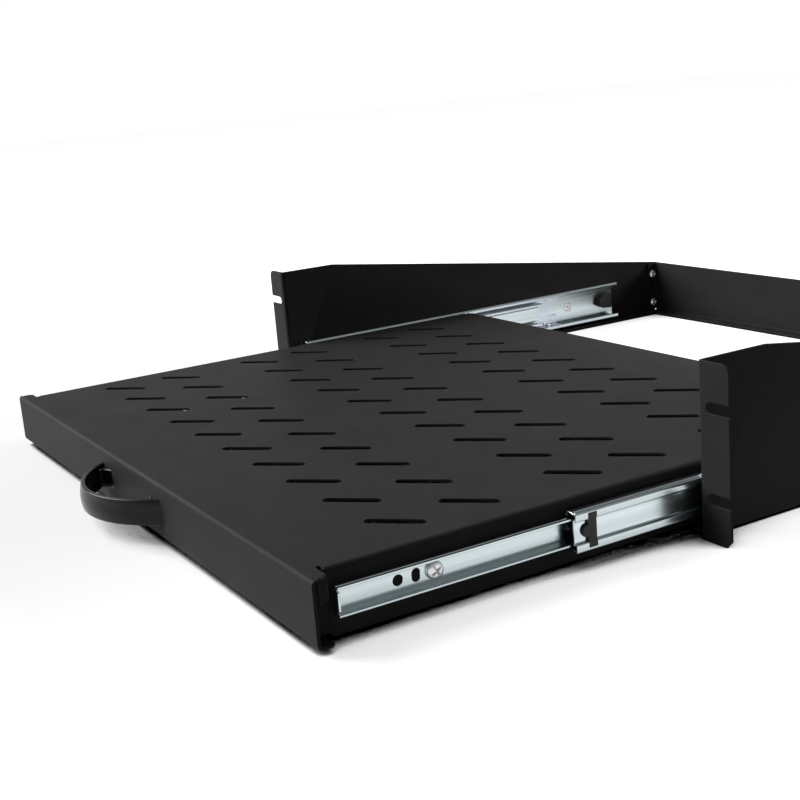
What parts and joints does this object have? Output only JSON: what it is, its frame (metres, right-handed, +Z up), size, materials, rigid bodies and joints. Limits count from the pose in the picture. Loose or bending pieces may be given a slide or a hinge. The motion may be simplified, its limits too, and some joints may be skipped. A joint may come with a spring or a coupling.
{
  "type": "sliding rack shelf",
  "caption": "Sliding rack shelf: slotted black steel tray with a bow handle on ball-bearing slides, between folded side brackets with rack ears and a rear crossbar.",
  "frame": {"origin": "middle of the plane of the two ears' rear faces, halfway up the ears", "axes": "+X to the right seen from the front, +Y from the ears to the back, +Z up"},
  "size_m": [0.4826, 0.5933, 0.0882],
  "materials": {
    "powder_coat": "satin black powder coat on folded steel",
    "zinc_rail": "bright zinc plating, satin",
    "cage_steel": "bluish zinc plating",
    "ball_steel": "polished",
    "screw_zinc": "bright zinc plating",
    "handle_plastic": "gloss black",
    "bumper_rubber": "matt black",
    "stop_plastic": "black"
  },
  "bodies": {
    "frame": {"left_side_bracket": "powder_coat", "right_side_bracket": "powder_coat", "rear_crossbar": "powder_coat", "crossbar_screws": "screw_zinc", "outer_rail_left": "zinc_rail", "outer_rail_right": "zinc_rail", "outer_rail_screws": "screw_zinc", "rail_bumper_left": "bumper_rubber", "rail_bumper_right": "bumper_rubber"},
    "tray": {"tray": "powder_coat", "pull_handle": "handle_plastic", "handle_screws": "screw_zinc", "inner_rail_left": "zinc_rail", "inner_rail_right": "zinc_rail", "inner_rail_screws": "screw_zinc"},
    "middle_rail_right": {"middle_rail_right": "zinc_rail", "rail_stop_right": "stop_plastic"},
    "middle_rail_left": {"middle_rail_left": "zinc_rail", "rail_stop_left": "stop_plastic"},
    "outer_cage_right": {"outer_ball_cage_right": "cage_steel", "outer_balls_right": "ball_steel"},
    "outer_cage_left": {"outer_ball_cage_left": "cage_steel", "outer_balls_left": "ball_steel"},
    "inner_cage_right": {"inner_ball_cage_right": "cage_steel", "inner_balls_right": "ball_steel"},
    "inner_cage_left": {"inner_ball_cage_left": "cage_steel", "inner_balls_left": "ball_steel"}
  },
  "joints": [
    {"name": "tray_slide", "type": "slide", "parent": "frame", "child": "tray", "axis": [0, -1, 0], "range_m": [-0.2, 0.07]},
    {"name": "middle_right_slide", "type": "slide", "parent": "frame", "child": "middle_rail_right", "axis": [0, -1, 0], "range_m": [-0.083, 0.0297]},
    {"name": "middle_left_slide", "type": "slide", "parent": "frame", "child": "middle_rail_left", "axis": [0, -1, 0], "range_m": [-0.06, 0.02165]},
    {"name": "outer_cage_right_slide", "type": "slide", "parent": "frame", "child": "outer_cage_right", "axis": [0, -1, 0], "range_m": [-0.042, 0.01535]},
    {"name": "outer_cage_left_slide", "type": "slide", "parent": "frame", "child": "outer_cage_left", "axis": [0, -1, 0], "range_m": [-0.0305, 0.01132]},
    {"name": "inner_cage_right_slide", "type": "slide", "parent": "frame", "child": "inner_cage_right", "axis": [0, -1, 0], "range_m": [-0.142, 0.05035]},
    {"name": "inner_cage_left_slide", "type": "slide", "parent": "frame", "child": "inner_cage_left", "axis": [0, -1, 0], "range_m": [-0.1305, 0.04632]}
  ],
  "couplings": [
    {"joint": "middle_right_slide", "follows": "tray_slide", "ratio": 0.41},
    {"joint": "middle_left_slide", "follows": "tray_slide", "ratio": 0.295},
    {"joint": "outer_cage_right_slide", "follows": "tray_slide", "ratio": 0.205},
    {"joint": "outer_cage_left_slide", "follows": "tray_slide", "ratio": 0.1475},
    {"joint": "inner_cage_right_slide", "follows": "tray_slide", "ratio": 0.705},
    {"joint": "inner_cage_left_slide", "follows": "tray_slide", "ratio": 0.6475}
  ]
}
